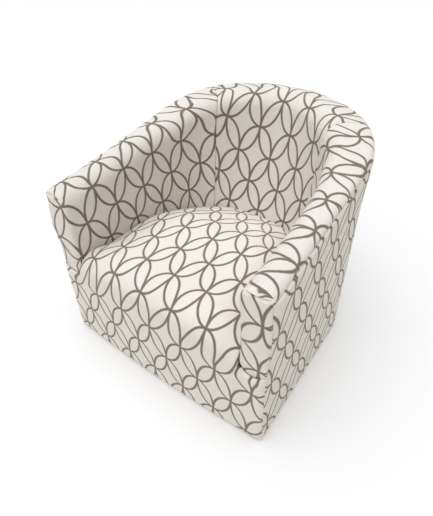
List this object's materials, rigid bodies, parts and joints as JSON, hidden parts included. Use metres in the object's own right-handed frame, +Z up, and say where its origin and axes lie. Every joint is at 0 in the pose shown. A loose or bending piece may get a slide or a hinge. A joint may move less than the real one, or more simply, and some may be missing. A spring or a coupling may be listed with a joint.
{
  "type": "swivel barrel chair",
  "caption": "Upholstered barrel lounge chair with a tight domed seat, a back that wraps round into the arms, and a hidden ball-bearing swivel base.",
  "frame": {"origin": "on the floor, on the swivel's axis, at the middle of the part's outline", "axes": "+Z up, the chair's front faces -Y, +X is towards the right arm as seen from the front"},
  "size_m": [0.793, 0.8441, 0.738],
  "materials": {
    "upholstery_fabric": "woven cream ground with a soft taupe lattice of overlapping circles",
    "cambric": "thin black non-woven cloth",
    "felt_pad": "needled felt",
    "hardwood": "planed, unfinished",
    "plywood": "sanded, unfinished",
    "zinc_steel": "zinc plated",
    "spring_steel": "dark oiled wire",
    "glide_nylon": "moulded nylon"
  },
  "bodies": {
    "base": {"floor_glide_1": "glide_nylon", "floor_glide_2": "glide_nylon", "floor_glide_3": "glide_nylon", "floor_glide_4": "glide_nylon", "base_disc": "plywood", "lower_swivel_plate": "zinc_steel", "ball_cage": "zinc_steel", "pivot_rivet": "zinc_steel", "base_screw_1": "zinc_steel", "base_screw_2": "zinc_steel", "base_screw_3": "zinc_steel", "base_screw_4": "zinc_steel"},
    "chair": {"upper_swivel_plate": "zinc_steel", "swivel_bolt_1": "zinc_steel", "swivel_bolt_2": "zinc_steel", "swivel_bolt_3": "zinc_steel", "swivel_bolt_4": "zinc_steel", "front_swivel_slat": "hardwood", "rear_swivel_slat": "hardwood", "dust_cover": "cambric", "right_bottom_rail": "hardwood", "left_bottom_rail": "hardwood", "right_seat_rail": "hardwood", "left_seat_rail": "hardwood", "right_arm_top_rail": "hardwood", "left_arm_top_rail": "hardwood", "back_bottom_rail": "plywood", "back_seat_rail": "plywood", "back_top_rail": "plywood", "front_bottom_rail": "hardwood", "front_seat_rail": "hardwood", "right_front_post": "hardwood", "left_front_post": "hardwood", "right_side_leg_post": "hardwood", "left_side_leg_post": "hardwood", "right_side_upright": "hardwood", "left_side_upright": "hardwood", "right_back_leg_post": "hardwood", "left_back_leg_post": "hardwood", "right_back_upright": "hardwood", "left_back_upright": "hardwood", "seat_spring_1": "spring_steel", "seat_spring_2": "spring_steel", "seat_spring_3": "spring_steel", "seat_spring_4": "spring_steel", "seat_spring_5": "spring_steel", "seat_spring_6": "spring_steel", "seat_deck": "felt_pad", "seat_cushion": "upholstery_fabric", "front_panel": "upholstery_fabric", "right_arm_facing": "upholstery_fabric", "left_arm_facing": "upholstery_fabric", "right_inside_arm": "upholstery_fabric", "left_inside_arm": "upholstery_fabric", "inside_back": "upholstery_fabric", "right_outside_arm": "upholstery_fabric", "left_outside_arm": "upholstery_fabric", "outside_back": "upholstery_fabric"}
  },
  "joints": [
    {"name": "swivel", "type": "hinge", "parent": "base", "child": "chair", "pos_m": [0, 0, 0.03565], "axis": [0, 0, 1], "continuous": true}
  ]
}
